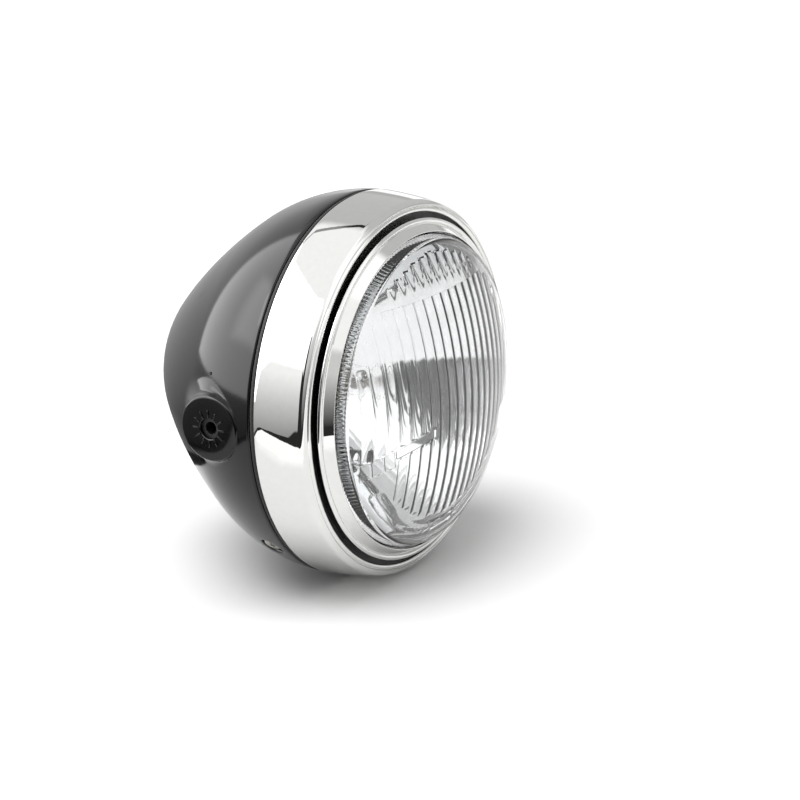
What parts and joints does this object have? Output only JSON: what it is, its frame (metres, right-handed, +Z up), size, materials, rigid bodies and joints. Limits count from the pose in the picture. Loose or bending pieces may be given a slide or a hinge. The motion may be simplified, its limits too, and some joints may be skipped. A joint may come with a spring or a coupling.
{
  "type": "round motorcycle headlight",
  "caption": "Round motorcycle headlight with a deep painted shell, threaded side bosses, a chrome rim and a domed fluted glass lens.",
  "frame": {"origin": "where the axis of the two side bolts crosses the optical axis", "axes": "-Y is the way the lamp shines, along the optical axis; +Z up; -X towards the rider's right side bolt"},
  "size_m": [0.209, 0.1799, 0.208],
  "materials": {
    "black_gloss_paint": "gloss black enamel",
    "black_satin_paint": "satin black paint",
    "chromed_steel": "bright chrome plate",
    "zinc_steel": "zinc plated",
    "spring_steel": "bright spring steel",
    "filament_steel": "bare wire and sheet",
    "silvered_steel": "vacuum coated aluminium",
    "clear_glass": "clear pressed glass",
    "bulb_glass": "clear blown glass",
    "black_rubber": "matt black",
    "pale_silicone": "pale sealant, matt",
    "black_plastic": "moulded, matt",
    "cream_plastic": "moulded, matt",
    "brass_blades": "plain stamped brass"
  },
  "bodies": {
    "root": {"shell": "black_gloss_paint", "side_insert_right": "black_satin_paint", "side_insert_left": "black_satin_paint", "shell_seal": "black_rubber", "rim": "chromed_steel", "rim_hook": "zinc_steel", "rim_lug_right": "zinc_steel", "rim_lug_left": "zinc_steel", "rim_nuts": "zinc_steel", "rim_screws": "zinc_steel", "mounting_ring": "black_satin_paint", "ring_clips": "spring_steel", "inner_ring": "chromed_steel", "lens": "clear_glass", "lens_seal": "pale_silicone", "reflector": "silvered_steel", "bulb_seat": "zinc_steel", "bulb_clip": "spring_steel", "bulb_collar": "zinc_steel", "bulb_glass": "bulb_glass", "bulb_shield": "filament_steel", "bulb_filaments": "filament_steel", "bulb_base": "cream_plastic", "bulb_terminals": "brass_blades", "dust_boot": "black_rubber", "parking_grommet": "black_rubber", "parking_holder": "black_plastic", "parking_bulb": "bulb_glass", "cable_grommet": "black_rubber"}
  },
  "joints": []
}
